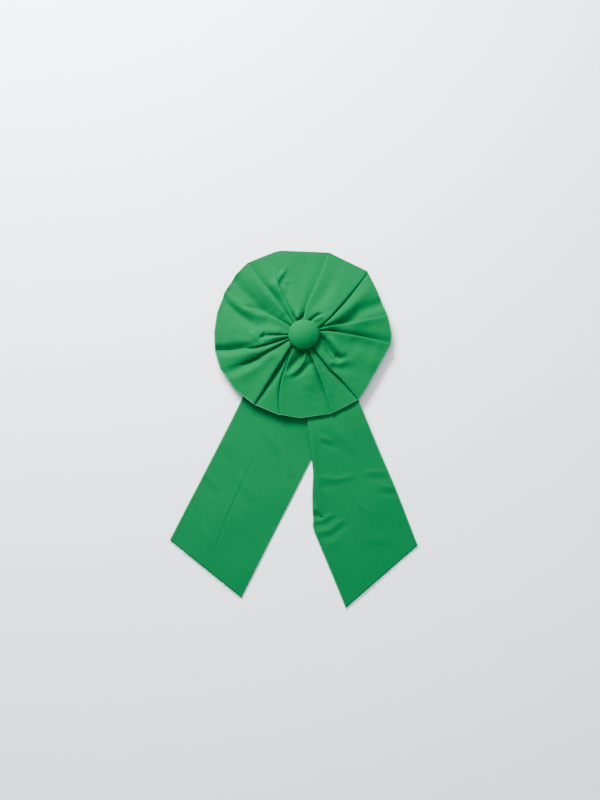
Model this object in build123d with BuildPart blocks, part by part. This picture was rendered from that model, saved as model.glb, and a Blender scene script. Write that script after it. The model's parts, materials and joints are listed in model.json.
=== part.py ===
"""A pre-made fabric bow: a gathered ribbon rosette with a covered button and two ribbon tails.

The bow lies on its back. The origin is the middle of the release liner's back face, on the
rosette's axis; +Z comes out of the rosette's front, and the tails lie towards -Y.
Everything is in millimetres.
"""

import os
from math import cos, radians, sin

from build123d import *

os.makedirs("parts", exist_ok=True)

# Driving dimensions
RIBBON_WIDTH = 60.0
RIBBON_SOLID = 0.4  # thickness that stands for one layer of ribbon and the air under it
BUTTON_DIAMETER = 21.0
THREAD = 0.8  # doubled sewing thread
RUNNING_GAP = 0.05  # radial clearance where something turns on a thread
LAYER_GAP = 0.3  # clearance between pieces that slide over each other
ROSETTE_GAP = 0.9  # clearance over the upper tail, which leaves room for the tack's knot
ROSETTE_HEIGHT = 4.9  # from the rosette's underside to its top, beside the button

# The stack on the rosette's axis, from the back to the front
LINER_THICKNESS = 0.2
PAD_THICKNESS = 1.4
DISC_THICKNESS = 1.0
pad_z = LINER_THICKNESS
disc_z = pad_z + PAD_THICKNESS
disc_top_z = disc_z + DISC_THICKNESS
left_tail_z = disc_top_z + LAYER_GAP
right_tail_z = left_tail_z + RIBBON_SOLID + LAYER_GAP
rosette_z = right_tail_z + RIBBON_SOLID + ROSETTE_GAP
rosette_top_z = rosette_z + ROSETTE_HEIGHT
button_z = rosette_top_z + LAYER_GAP

# The backing disc, with the adhesive pad and its liner
DISC_RADIUS = 40.0
DISC_EDGE = 0.3  # the pressed felt's rounded edge
PAD_SIDE = 40.0
PAD_CORNER = 1.5
PAD_HOLE_RADIUS = 4.0  # clears the knot behind the button
LINER_MARGIN = 0.5  # how far the liner stands past the pad all round
LINER_TAB = 5.0  # how far its tab stands out, for a finger to lift
LINER_TAB_CORNER = 2.0
liner_side = PAD_SIDE + 2 * LINER_MARGIN

with BuildPart() as release_liner:
    with BuildSketch():
        RectangleRounded(liner_side, liner_side, PAD_CORNER)
        with Locations((0, PAD_SIDE / 2)):
            RectangleRounded(PAD_SIDE / 2, 2 * LINER_TAB, LINER_TAB_CORNER)
    extrude(amount=LINER_THICKNESS)

with BuildPart() as adhesive_pad:
    with BuildSketch(Plane.XY.offset(pad_z)):
        RectangleRounded(PAD_SIDE, PAD_SIDE, PAD_CORNER)
        Circle(PAD_HOLE_RADIUS, mode=Mode.SUBTRACT)
    extrude(amount=PAD_THICKNESS)

# The tails are tacked at one point, where their middle lines cross, and swing about it
TACK = (-1.5, -27.5)
TACK_COLUMN_RADIUS = 0.6
TACK_KNOT_RADIUS = 1.5
TACK_KNOT_THICKNESS = 0.6
TACK_KNOT_EDGE = 0.25
tack_hole_radius = TACK_COLUMN_RADIUS + RUNNING_GAP

# The button's thread goes down through the disc in two legs
THREAD_LEG = 1.6  # each leg's distance from the axis

with BuildPart() as backing_disc:
    with BuildSketch(Plane.XY.offset(disc_z)):
        Circle(DISC_RADIUS)
        with Locations((0, THREAD_LEG), (0, -THREAD_LEG)):
            Circle(THREAD / 2 + RUNNING_GAP, mode=Mode.SUBTRACT)
        with Locations(TACK):
            Circle(tack_hole_radius, mode=Mode.SUBTRACT)
    extrude(amount=DISC_THICKNESS)
    rim_edges = backing_disc.edges().filter_by(GeomType.CIRCLE).sort_by(SortBy.RADIUS)[-2:]
    fillet(rim_edges, DISC_EDGE)

# The rosette: one ribbon, gathered along its inner edge. Each fold has the angle and the
# distance of its corner on the rim, and says which side lies on top: +1 the side further
# round anticlockwise, -1 the other side, 0 a corner with no fold.
FOLDS = [
    (16.9, 59.5, -1),
    (46.7, 62.0, 1),
    (72.9, 61.0, -1),
    (106.0, 61.5, 1),
    (124.9, 62.5, 1),
    (138.0, 62.0, 0),
    (151.4, 61.0, 1),
    (168.0, 60.5, 0),
    (185.6, 60.0, 1),
    (200.7, 60.0, -1),
    (217.0, 59.0, 0),
    (232.0, 58.0, -1),
    (252.0, 56.5, 1),
    (289.5, 56.5, 1),
    (310.3, 57.0, -1),
    (320.0, 56.0, 0),
    (355.4, 59.5, -1),
]
GATHER_RADIUS = 4.6  # the drawn-up inner edge
HUB_RADIUS = 8.0  # the bulk of the gathers, which stands on the backing disc
HUB_FLARE = 3.0
SHOULDER_RADIUS = 12.0  # where the folds rise beside the button
SHOULDER_DROP = 0.2  # how far the shoulder is below the rosette's top
CREST_RADIUS = 26.0
CREST_HEIGHT = 2.4  # a fold's crest over the rosette's underside, before its own lift
RIM_BAND = 10.0  # the width of the band that droops towards the rim
RIM_THICKNESS = 0.8
RIM_DROP = 0.4  # the rim hangs this much lower than the rosette's underside
CREST_LIFT = {1: 1.9, 0: 1.1, -1: 0.3}  # an upper side's crest, a flat one's, a lower one's
RIM_LIFT = {1: 0.9, 0: 0.45, -1: 0.0}


def radial_plane(angle):
    """The plane through the axis at that angle: x is the distance from the axis, y is +Z."""
    a = radians(angle)
    return Plane(origin=(0, 0, 0), x_dir=(cos(a), sin(a), 0), z_dir=(sin(a), -cos(a), 0))


def rosette_section(angle, rim, side):
    """The rosette's section at a fold, on its upper (1) or lower (-1) side."""
    rim_z = rosette_z - RIM_DROP
    crest_z = rosette_z + CREST_HEIGHT + CREST_LIFT[side]
    shoulder_z = rosette_top_z - SHOULDER_DROP
    with BuildSketch(radial_plane(angle)) as section:
        with BuildLine():
            Polyline(
                (GATHER_RADIUS, disc_top_z),
                (HUB_RADIUS, disc_top_z),
                (HUB_RADIUS + HUB_FLARE, rosette_z),
                (rim - RIM_BAND, rosette_z),
                (rim, rim_z),
                (rim, rim_z + RIM_THICKNESS + RIM_LIFT[side]),
                (CREST_RADIUS, crest_z),
                (SHOULDER_RADIUS, shoulder_z),
                (GATHER_RADIUS, shoulder_z),
                close=True,
            )
        make_face()
    return section.sketch


with BuildPart() as rosette_ribbon:
    for fold, next_fold in zip(FOLDS, FOLDS[1:] + FOLDS[:1]):
        angle, rim, over = fold
        next_angle, next_rim, next_over = next_fold
        start = rosette_section(angle, rim, over)
        end = rosette_section(next_angle, next_rim, -next_over)
        loft([start, end], ruled=True)

# The seam that closes the ribbon into a ring, sewn under the fold at 232 degrees
SEAM_ANGLE = 232.0
STITCH_LENGTH = 2.6
STITCH_PITCH = 4.0
STITCH_COUNT = 9
SEAM_START = 13.0
stitch_radius = THREAD / 4
seam_plane = radial_plane(SEAM_ANGLE)

with BuildPart() as rosette_seam_thread:
    for i in range(STITCH_COUNT):
        stitch_start = seam_plane.from_local_coords(
            (SEAM_START + i * STITCH_PITCH, rosette_z - stitch_radius, 0)
        )
        with BuildSketch(Plane(origin=stitch_start, z_dir=seam_plane.x_dir)):
            Circle(stitch_radius)
        extrude(amount=STITCH_LENGTH)

# The running thread that draws the gathers up, knotted on its inner side
GATHER_THREAD_INSET = 0.7  # from the drawn-up edge to the middle of the thread
GATHER_THREAD_RISE = 1.5  # above the rosette's underside
GATHER_KNOT_RADIUS = 0.45
GATHER_KNOT_INSET = 0.2
gather_thread_radius = GATHER_RADIUS - GATHER_THREAD_INSET
gather_z = rosette_z + GATHER_THREAD_RISE

with BuildPart() as gathering_thread:
    with BuildSketch(Plane.XZ):
        with Locations((gather_thread_radius, gather_z)):
            Circle(THREAD / 4)
    revolve(axis=Axis.Z)
    with Locations((0, GATHER_KNOT_INSET - gather_thread_radius, gather_z)):
        Sphere(GATHER_KNOT_RADIUS, rotation=(0, 0, 90))  # its seam line clears the thread

# The tails. Each is built with its tack at the origin and its length along -Y, then turned
# about the tack. A tail leaves the disc level, comes down in a long slope and lies flat.
TAIL_TOP = 7.0  # how far the ribbon runs above the tack
LEFT_TAIL_ANGLE = -26.1  # turned about +Z from -Y
RIGHT_TAIL_ANGLE = 21.6
LEFT_CUT = (137.1, 150.5)  # the outer corner's distance from the tack, then the inner one's
RIGHT_CUT = (133.8, 154.8)
half_width = RIBBON_WIDTH / 2
TAIL_BEND_RADIUS = 60.0  # where a tail's slope starts and ends


def tail_side_view(heights):
    """A tail seen from its side, from (distance from the tack, underside height) pairs."""
    side = Plane(origin=(half_width, 0, 0), x_dir=(0, -1, 0), z_dir=(-1, 0, 0))
    with BuildSketch(side) as view:
        with BuildLine():
            top = [(t, z + RIBBON_SOLID) for t, z in reversed(heights)]
            Polyline(*heights, *top, close=True)
        make_face()
        bends = [v for v in view.vertices() if -TAIL_TOP < v.X < heights[-1][0]]
        fillet(bends, TAIL_BEND_RADIUS)
    return view.sketch


def tail_plan_view(outline):
    """A tail seen from above, from (across, distance from the tack) pairs."""
    with BuildSketch() as view:
        with BuildLine():
            Polyline(*[(x, -t) for x, t in outline], close=True)
        make_face()
        Circle(tack_hole_radius, mode=Mode.SUBTRACT)
    return view.sketch


LEFT_DROP = (20.0, 50.0)  # where the slope starts and ends

with BuildPart() as left_tail_ribbon:
    left_side = tail_side_view([
        (-TAIL_TOP, left_tail_z),
        (LEFT_DROP[0], left_tail_z),
        (LEFT_DROP[1], 0.0),
        (LEFT_CUT[1], 0.0),
    ])
    extrude(left_side, amount=RIBBON_WIDTH)
    left_plan = tail_plan_view([
        (-half_width, -TAIL_TOP),
        (half_width, -TAIL_TOP),
        (half_width, LEFT_CUT[1]),
        (-half_width, LEFT_CUT[0]),
    ])
    extrude(left_plan, amount=rosette_top_z, mode=Mode.INTERSECT)

# The right tail crosses over the left one, so it comes down later and touches down at its
# end only. A tuck on its inner side takes the ribbon's width in near the rosette.
RIGHT_DROP = (37.0, 67.0)
RIGHT_LYING_Z = 1.4
RIGHT_TOUCHDOWN = (110.0, 130.0)
TUCK_TOP = 32.0  # from the tack to where the tuck starts to open
TUCK_END = 96.0
TUCK_EDGE = -8.5  # across, where the tuck's folded edge comes out from under the rosette
TUCK_SLANT = -23.0  # across, where the tuck ends
TUCK_LAYER = (-6.0, 5.0)  # how far the doubled layer reaches to each side of that edge
TUCK_RELEASE = 4.0  # past its end, the ribbon is at its full width

with BuildPart() as right_tail_ribbon:
    right_side = tail_side_view([
        (-TAIL_TOP, right_tail_z),
        (RIGHT_DROP[0], right_tail_z),
        (RIGHT_DROP[1], RIGHT_LYING_Z),
        (RIGHT_TOUCHDOWN[0], RIGHT_LYING_Z),
        (RIGHT_TOUCHDOWN[1], 0.0),
        (RIGHT_CUT[1], 0.0),
    ])
    extrude(right_side, amount=RIBBON_WIDTH)
    right_plan = tail_plan_view([
        (TUCK_EDGE, -TAIL_TOP),
        (half_width, -TAIL_TOP),
        (half_width, RIGHT_CUT[0]),
        (-half_width, RIGHT_CUT[1]),
        (-half_width, TUCK_END + TUCK_RELEASE),
        (TUCK_EDGE, TUCK_TOP),
    ])
    extrude(right_plan, amount=rosette_top_z, mode=Mode.INTERSECT)
    with BuildSketch(Plane.XY.offset(RIGHT_LYING_Z + RIBBON_SOLID)):
        with BuildLine():
            Polyline(
                (TUCK_EDGE + TUCK_LAYER[0], -RIGHT_DROP[1]),
                (TUCK_EDGE + TUCK_LAYER[1], -RIGHT_DROP[1]),
                (TUCK_SLANT, -TUCK_END),
                close=True,
            )
        make_face()
    extrude(amount=RIBBON_SOLID)

# The tack: a column of thread between a knot on the upper tail and one behind the disc
with BuildPart() as tail_tack_thread:
    tack_bottom = disc_z - TACK_KNOT_THICKNESS
    tack_top = right_tail_z + RIBBON_SOLID + RUNNING_GAP
    with BuildSketch(Plane.XY.offset(tack_bottom)):
        with Locations(TACK):
            Circle(TACK_KNOT_RADIUS)
    extrude(amount=TACK_KNOT_THICKNESS)
    with BuildSketch(Plane.XY.offset(disc_z)):
        with Locations(TACK):
            Circle(TACK_COLUMN_RADIUS)
    extrude(amount=tack_top - disc_z)
    with BuildSketch(Plane.XY.offset(tack_top)):
        with Locations(TACK):
            Circle(TACK_KNOT_RADIUS)
    extrude(amount=TACK_KNOT_THICKNESS)
    levels = tail_tack_thread.edges().group_by(Axis.Z)
    fillet(levels[0] + levels[-1], TACK_KNOT_EDGE)

# The covered button: a domed shell with the ribbon's fabric wrapped over it and tucked in
# under its rim, a back plate that holds the fabric, and a wire shank through the plate
COVER_THICKNESS = 0.3
SHELL_THICKNESS = 0.5
PLATE_THICKNESS = 0.8
PLATE_EDGE = 0.2
HEM = 0.8  # how far the fabric runs up inside the shell
DOME_HEIGHT = 6.0
DOME_RADIUS = 16.0
SHOULDER_BEND = 2.4
button_radius = BUTTON_DIAMETER / 2
shell_z = button_z + COVER_THICKNESS
inner_radius = button_radius - COVER_THICKNESS - SHELL_THICKNESS
plate_radius = inner_radius - COVER_THICKNESS


def button_section(inset, bottom_z):
    """Half of the button's section, that far inside its surface and down to that height."""
    with BuildSketch(Plane.XZ) as section:
        with Locations((0, button_z + DOME_HEIGHT - DOME_RADIUS)):
            Circle(DOME_RADIUS - inset)
        with Locations((0, bottom_z)):
            Rectangle(
                button_radius - inset, DOME_RADIUS, align=(Align.MIN, Align.MIN), mode=Mode.INTERSECT
            )
        shoulder = section.vertices().group_by(Axis.X)[-1].sort_by(Axis.Y)[-1]
        fillet(shoulder, SHOULDER_BEND - inset)
    return section.sketch


with BuildPart() as button_fabric_cover:
    revolve(button_section(0, button_z), axis=Axis.Z)
    revolve(button_section(COVER_THICKNESS, shell_z), axis=Axis.Z, mode=Mode.SUBTRACT)
    with BuildSketch(Plane.XY.offset(button_z)):
        Circle(plate_radius)
    extrude(amount=COVER_THICKNESS, mode=Mode.SUBTRACT)
    with BuildSketch(Plane.XY.offset(shell_z)):
        Circle(inner_radius)
        Circle(plate_radius, mode=Mode.SUBTRACT)
    extrude(amount=HEM - COVER_THICKNESS)

with BuildPart() as button_shell:
    revolve(button_section(COVER_THICKNESS, shell_z), axis=Axis.Z)
    revolve(
        button_section(COVER_THICKNESS + SHELL_THICKNESS, button_z), axis=Axis.Z, mode=Mode.SUBTRACT
    )

SHANK_WIRE_RADIUS = 0.6
SHANK_HALF_WIDTH = 2.2
SHANK_REACH = 4.2  # how far the wire loop hangs below the back plate
SHANK_FOOT = 1.6  # how far each end of the wire is bent out on the plate's inner face
shank_bend = SHANK_WIRE_RADIUS + RUNNING_GAP
shank_foot_z = shell_z + PLATE_THICKNESS + shank_bend
shank_turn_z = button_z - SHANK_REACH + SHANK_HALF_WIDTH

with BuildPart() as button_back_plate:
    with BuildSketch(Plane.XY.offset(shell_z)):
        Circle(plate_radius)
        with Locations((SHANK_HALF_WIDTH, 0), (-SHANK_HALF_WIDTH, 0)):
            Circle(SHANK_WIRE_RADIUS, mode=Mode.SUBTRACT)
    extrude(amount=PLATE_THICKNESS)
    plate_edges = button_back_plate.edges().filter_by(GeomType.CIRCLE).sort_by(SortBy.RADIUS)[-2:]
    chamfer(plate_edges, PLATE_EDGE)

with BuildPart() as button_shank:
    with BuildLine(Plane.XZ):
        FilletPolyline(
            (-SHANK_HALF_WIDTH - SHANK_FOOT, shank_foot_z),
            (-SHANK_HALF_WIDTH, shank_foot_z),
            (-SHANK_HALF_WIDTH, shank_turn_z),
            radius=shank_bend,
        )
        ThreePointArc(
            (-SHANK_HALF_WIDTH, shank_turn_z),
            (0, shank_turn_z - SHANK_HALF_WIDTH),
            (SHANK_HALF_WIDTH, shank_turn_z),
        )
        FilletPolyline(
            (SHANK_HALF_WIDTH, shank_turn_z),
            (SHANK_HALF_WIDTH, shank_foot_z),
            (SHANK_HALF_WIDTH + SHANK_FOOT, shank_foot_z),
            radius=shank_bend,
        )
    with BuildSketch(Plane(origin=(-SHANK_HALF_WIDTH - SHANK_FOOT, 0, shank_foot_z), z_dir=(1, 0, 0))):
        Circle(SHANK_WIRE_RADIUS)
    sweep()

# The thread that holds the button: over the shank's wire, down through the disc, and
# knotted behind it
THREAD_SLACK = 0.2  # between the thread and what it passes over
THREAD_BEND = 0.5
BUTTON_KNOT_RADIUS = 0.65
shank_wire_top_z = shank_turn_z - SHANK_HALF_WIDTH + SHANK_WIRE_RADIUS
thread_top = shank_wire_top_z + THREAD / 2 + THREAD_SLACK
thread_bar_z = disc_z - THREAD / 2 - THREAD_SLACK

with BuildPart() as button_thread:
    with BuildLine(Plane.YZ):
        FilletPolyline(
            (-THREAD_LEG, thread_bar_z),
            (THREAD_LEG, thread_bar_z),
            (THREAD_LEG, thread_top),
            (-THREAD_LEG, thread_top),
            radius=THREAD_BEND,
            close=True,
        )
    with BuildSketch(Plane(origin=(0, 0, thread_bar_z), z_dir=(0, 1, 0))):
        Circle(THREAD / 2)
    sweep()
    with Locations((0, 0, thread_bar_z)):
        Sphere(BUTTON_KNOT_RADIUS)

# The tails are turned about their tack
left_place = Location((*TACK, 0)) * Rot(0, 0, LEFT_TAIL_ANGLE)
right_place = Location((*TACK, 0)) * Rot(0, 0, RIGHT_TAIL_ANGLE)
left_tail_ribbon.part = left_place * left_tail_ribbon.part
right_tail_ribbon.part = right_place * right_tail_ribbon.part

PIECES = {
    "rosette_ribbon": rosette_ribbon,
    "rosette_seam_thread": rosette_seam_thread,
    "gathering_thread": gathering_thread,
    "left_tail_ribbon": left_tail_ribbon,
    "right_tail_ribbon": right_tail_ribbon,
    "tail_tack_thread": tail_tack_thread,
    "button_fabric_cover": button_fabric_cover,
    "button_shell": button_shell,
    "button_back_plate": button_back_plate,
    "button_shank": button_shank,
    "button_thread": button_thread,
    "backing_disc": backing_disc,
    "adhesive_pad": adhesive_pad,
    "release_liner": release_liner,
}
for name, piece in PIECES.items():
    piece.part.label = name
    export_step(piece.part, f"parts/{name}.step")
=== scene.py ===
"""The looks of a gathered ribbon rosette with a covered button, two ribbon tails and a sticky back.

It lies on its back: +Z comes out of the rosette's front and the tails lie towards -Y.
Shapes are worked out in millimetres about the rosette's axis and become metres in make_object.
"""
import json
import math

import bpy
import numpy as np
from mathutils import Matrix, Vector


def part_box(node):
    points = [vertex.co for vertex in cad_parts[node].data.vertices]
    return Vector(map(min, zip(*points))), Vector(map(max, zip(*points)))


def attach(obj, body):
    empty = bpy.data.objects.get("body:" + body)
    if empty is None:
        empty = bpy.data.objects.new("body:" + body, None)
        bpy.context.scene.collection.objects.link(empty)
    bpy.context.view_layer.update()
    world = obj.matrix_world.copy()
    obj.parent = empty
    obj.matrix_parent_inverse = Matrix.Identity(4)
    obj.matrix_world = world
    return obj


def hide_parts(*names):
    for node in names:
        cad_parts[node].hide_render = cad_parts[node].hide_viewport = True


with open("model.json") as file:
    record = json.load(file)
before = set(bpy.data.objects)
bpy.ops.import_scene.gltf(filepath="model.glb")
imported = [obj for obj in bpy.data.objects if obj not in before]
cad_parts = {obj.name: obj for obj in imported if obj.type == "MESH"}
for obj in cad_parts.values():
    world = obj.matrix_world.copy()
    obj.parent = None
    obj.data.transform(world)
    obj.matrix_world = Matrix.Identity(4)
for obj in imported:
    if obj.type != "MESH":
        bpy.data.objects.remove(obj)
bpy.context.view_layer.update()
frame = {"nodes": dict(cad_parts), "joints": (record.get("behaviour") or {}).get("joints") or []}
random = np.random.default_rng(7)
MM = 0.001


# ---- sizes, from the frame

def cad(node):
    """A CAD node's lowest and highest corners, in millimetres."""
    low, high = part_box(node)
    return np.array(low) / MM, np.array(high) / MM


joints = {joint["name"]: joint for joint in frame["joints"]}
tack = np.array(joints["left_tail_swing"]["pos_m"][:2]) / MM
disc_low, disc_high = cad("backing_disc")
pad_low, pad_high = cad("adhesive_pad")
cover_low, cover_high = cad("button_fabric_cover")
gather_low, gather_high = cad("gathering_thread")
# The middle of the tails' cloth, where it is highest.
left_top_z = cad("left_tail_ribbon")[1][2] - 0.25
right_top_z = cad("right_tail_ribbon")[1][2] - 0.25
disc_radius = disc_high[0]
button_radius = cover_high[0]
gather_radius = gather_high[0] + 0.6  # the cloth stands a little outside its thread
gather_height = (gather_low[2] + gather_high[2]) / 2

RIBBON_WIDTH = 60.0
RIBBON_THICKNESS = 0.16
half_width = RIBBON_WIDTH / 2


# ---- small helpers

def smooth_through(knots, x):
    """A smooth line through (position, value) knots that never overshoots them."""
    kx = np.array([k[0] for k in knots], float)
    ky = np.array([k[1] for k in knots], float)
    x = np.clip(np.asarray(x, float), kx[0], kx[-1])
    step = np.diff(kx)
    slope = np.diff(ky) / step
    tangent = np.zeros_like(ky)
    tangent[0], tangent[-1] = slope[0], slope[-1]
    for i in range(1, len(kx) - 1):
        if slope[i - 1] * slope[i] > 0:
            w0, w1 = 2 * step[i] + step[i - 1], step[i] + 2 * step[i - 1]
            tangent[i] = (w0 + w1) / (w0 / slope[i - 1] + w1 / slope[i])
    i = np.clip(np.searchsorted(kx, x, side="right") - 1, 0, len(step) - 1)
    t = (x - kx[i]) / step[i]
    h = step[i]
    return (
        (1 + 2 * t) * (1 - t) ** 2 * ky[i]
        + t * (1 - t) ** 2 * h * tangent[i]
        + t * t * (3 - 2 * t) * ky[i + 1]
        + t * t * (t - 1) * h * tangent[i + 1]
    )


def bell(x, width):
    """1 at x = 0, falling smoothly to nothing on both sides over about that width."""
    return np.exp(-((x / width) ** 2))


def ease(x, start, end):
    """0 before start, 1 after end, smooth between them."""
    t = np.clip((x - start) / (end - start), 0, 1)
    return t * t * (3 - 2 * t)


def ripple(x, y, seed, wavelength, count=5):
    """A smooth random surface, about -1 to 1, made of a few waves in random directions."""
    pick = np.random.default_rng(seed)
    total = np.zeros_like(x + y)
    for _ in range(count):
        direction = pick.uniform(0, 2 * math.pi)
        length = wavelength * pick.uniform(0.7, 1.6)
        phase = pick.uniform(0, 2 * math.pi)
        along = x * math.cos(direction) + y * math.sin(direction)
        total += np.sin(2 * math.pi * along / length + phase)
    return total / count * 1.6


def make_object(name, points, faces, material, body, uv=None, thickness=0.0, offset=0.0):
    """A smooth mesh object from points in millimetres, riding on a CAD body.

    A thickness makes a solid sheet of the mesh, about its middle or, by offset, on one side of it.
    """
    mesh = bpy.data.meshes.new(name)
    mesh.from_pydata((points * MM).tolist(), [], faces)
    mesh.validate()
    if uv is not None:
        layer = mesh.uv_layers.new(name="cloth")
        layer.data.foreach_set("uv", (uv * MM).astype(np.float32).ravel())
    mesh.polygons.foreach_set("use_smooth", np.ones(len(mesh.polygons), bool))
    mesh.materials.append(material)
    piece = bpy.data.objects.new(name, mesh)
    bpy.context.scene.collection.objects.link(piece)
    if thickness:
        solid = piece.modifiers.new("thickness", "SOLIDIFY")
        solid.thickness = thickness * MM
        solid.offset = offset
    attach(piece, body)
    return piece


def grid_faces(rows, columns, closed=False):
    """Quads over a grid of points stored row by row."""
    last = columns if closed else columns - 1
    row, column = np.meshgrid(np.arange(rows - 1), np.arange(last), indexing="ij")
    row, column = row.ravel(), column.ravel()
    beside = (column + 1) % columns
    return np.stack(
        [row * columns + column, row * columns + beside,
         (row + 1) * columns + beside, (row + 1) * columns + column], axis=1)


def store(piece, name, values):
    """Stores a number at each point, a length in millimetres or a share that sets painted shade, for the
    material to read.
    """
    attribute = piece.data.attributes.new(name, "FLOAT", "POINT")
    attribute.data.foreach_set("value", np.asarray(values, np.float32).ravel())


# ---- materials

def node_tree(name):
    """A new material, its node tree and the shader in it."""
    material = bpy.data.materials.new(name)
    material.use_nodes = True
    tree = material.node_tree
    tree.nodes.clear()
    output = tree.nodes.new("ShaderNodeOutputMaterial")
    shader = tree.nodes.new("ShaderNodeBsdfPrincipled")
    tree.links.new(shader.outputs["BSDF"], output.inputs["Surface"])
    return material, tree, shader


def object_place(tree):
    """Places in the object's own frame, in metres."""
    return tree.nodes.new("ShaderNodeTexCoord").outputs["Object"]


def set_inputs(node, **values):
    """Sets values on a node's own sockets. An underscore in a name stands for a space."""
    for name, value in values.items():
        node.inputs[name.replace("_", " ")].default_value = value


def fill(tree, socket, value):
    """Gives a socket a number, a colour or the output of another node."""
    if isinstance(value, (int, float)):
        socket.default_value = value
    elif isinstance(value, tuple):
        socket.default_value = (*value, 1.0)
    else:
        tree.links.new(value, socket)


def maths(tree, operation, *values):
    """One step of arithmetic, on numbers or on other nodes' outputs."""
    node = tree.nodes.new("ShaderNodeMath")
    node.operation = operation
    for socket, value in zip(node.inputs, values):
        fill(tree, socket, value)
    return node.outputs[0]


def mix_colour(tree, share, a, b):
    """Colour a where share is 0, and colour b where it is 1."""
    node = tree.nodes.new("ShaderNodeMix")
    node.data_type = "RGBA"
    for index, value in ((0, share), (6, a), (7, b)):
        fill(tree, node.inputs[index], value)
    return node.outputs[2]


def noise(tree, coordinates, scale, detail=3.0, roughness=0.5, stretch=(1, 1, 1)):
    """Noise over the coordinates, finer along an axis with a larger stretch."""
    mapping = tree.nodes.new("ShaderNodeMapping")
    set_inputs(mapping, Scale=stretch)
    tree.links.new(coordinates, mapping.inputs["Vector"])
    node = tree.nodes.new("ShaderNodeTexNoise")
    set_inputs(node, Scale=scale, Detail=detail, Roughness=roughness)
    tree.links.new(mapping.outputs["Vector"], node.inputs["Vector"])
    return node.outputs["Fac"]


def finished(material, tree, shader, base, height, strength, distance, **values):
    """Joins a material's colour and bump to its shader, and sets the shader's own values."""
    fill(tree, shader.inputs["Base Color"], base)
    set_inputs(shader, **values)
    node = tree.nodes.new("ShaderNodeBump")
    set_inputs(node, Strength=strength, Distance=distance)
    tree.links.new(height, node.inputs["Height"])
    tree.links.new(node.outputs["Normal"], shader.inputs["Normal"])
    return material


def stored(tree, name):
    """A number that store left at each point."""
    node = tree.nodes.new("ShaderNodeAttribute")
    node.attribute_name = name
    return node.outputs["Fac"]


RIBBON_GREEN = (0.0, 0.106, 0.027)
RIBBON_SHADE = (0.0, 0.076, 0.020)
RIBBON_PATCH = (0.0, 0.115, 0.036)
SELVAGE_GREEN = (0.05, 0.34, 0.17)
# Painted shade: this dark green stands in for shade on the selvage along the rosette's top rim.
SELVAGE_PAINTED_SHADE = (0.0, 0.045, 0.018)
SELVAGE_WIDTH = 0.55


def taffeta(name, pitch, selvage):
    """Fine plain-woven polyester: a weave bump, fine streaks along the ribbon, a pale selvage with painted
    shade where the stored share asks for it.
    """
    material, tree, shader = node_tree(name)
    cloth = tree.nodes.new("ShaderNodeUVMap")
    cloth.uv_map = "cloth"
    place = cloth.outputs["UV"]
    parts = tree.nodes.new("ShaderNodeSeparateXYZ")
    tree.links.new(place, parts.inputs["Vector"])
    turns = math.pi / pitch
    warp = maths(tree, "SINE", maths(tree, "MULTIPLY", parts.outputs["X"], turns))
    weft = maths(tree, "SINE", maths(tree, "MULTIPLY", parts.outputs["Y"], turns))
    weave = maths(tree, "MULTIPLY_ADD", maths(tree, "MULTIPLY", warp, weft), 0.5, 0.5)
    streaks = noise(tree, place, 1.0, 4.0, 0.6, (40, 1400, 1))
    slubs = noise(tree, place, 1.0, 2.0, 0.5, (900, 160, 1))
    patches = noise(tree, place, 55.0, 2.0, 0.5)
    base = mix_colour(tree, maths(tree, "MULTIPLY_ADD", streaks, 0.9, 0.05), RIBBON_GREEN, RIBBON_SHADE)
    base = mix_colour(tree, maths(tree, "MULTIPLY", slubs, 0.22), base, RIBBON_SHADE)
    base = mix_colour(tree, maths(tree, "MULTIPLY", patches, 0.25), base, RIBBON_PATCH)
    base = mix_colour(tree, maths(tree, "MULTIPLY", weave, 0.18), base, RIBBON_SHADE)
    height = maths(tree, "MULTIPLY_ADD", streaks, 0.5, weave)
    if selvage:
        near = maths(tree, "LESS_THAN", stored(tree, "edge_mm"), SELVAGE_WIDTH)
        stitch = maths(tree, "SINE", maths(tree, "MULTIPLY", parts.outputs["X"], turns / 1.4))
        picot = maths(tree, "MULTIPLY", near, maths(tree, "MULTIPLY_ADD", stitch, 0.35, 0.5))
        # Painted shade: where selvage_unshaded falls to 0 the selvage is painted dark green instead of
        # pale.
        edging = mix_colour(tree, stored(tree, "selvage_unshaded"), SELVAGE_PAINTED_SHADE, SELVAGE_GREEN)
        base = mix_colour(tree, picot, base, edging)
        height = maths(tree, "ADD", height, maths(tree, "MULTIPLY", picot, 2.0))
    return finished(
        material, tree, shader, base, height, 0.30, 0.00008,
        Roughness=0.66, Specular_IOR_Level=0.04, Specular_Tint=(0.35, 1.0, 0.7, 1.0),
        Sheen_Weight=0.05, Sheen_Roughness=0.45, Sheen_Tint=(0.25, 1.0, 0.65, 1.0))


def thread_material(name, colour):
    """Twisted polyester thread, with fine fibres along it."""
    material, tree, shader = node_tree(name)
    fibres = noise(tree, object_place(tree), 5000.0, 3.0, 0.7)
    darker = tuple(c * 0.6 for c in colour)
    base = mix_colour(tree, fibres, darker, colour)
    return finished(material, tree, shader, base, fibres, 0.4, 0.00005, Roughness=0.5, Sheen_Weight=0.2)


def felt_material(name):
    """Pressed felt: matted fibres and soft mottling."""
    material, tree, shader = node_tree(name)
    place = object_place(tree)
    fibres = noise(tree, place, 2600.0, 6.0, 0.75, (1, 0.45, 1))
    crossing = noise(tree, place, 2600.0, 6.0, 0.75, (0.45, 1, 1))
    mottle = noise(tree, place, 120.0, 3.0)
    matted = maths(tree, "MAXIMUM", fibres, crossing)
    base = mix_colour(tree, matted, (0.008, 0.110, 0.034), (0.020, 0.215, 0.070))
    base = mix_colour(tree, maths(tree, "MULTIPLY", mottle, 0.35), base, (0.030, 0.240, 0.090))
    return finished(material, tree, shader, base, matted, 0.8, 0.0002,
                    Roughness=0.95, Specular_IOR_Level=0.1, Sheen_Weight=0.2, Sheen_Roughness=0.7)


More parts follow.
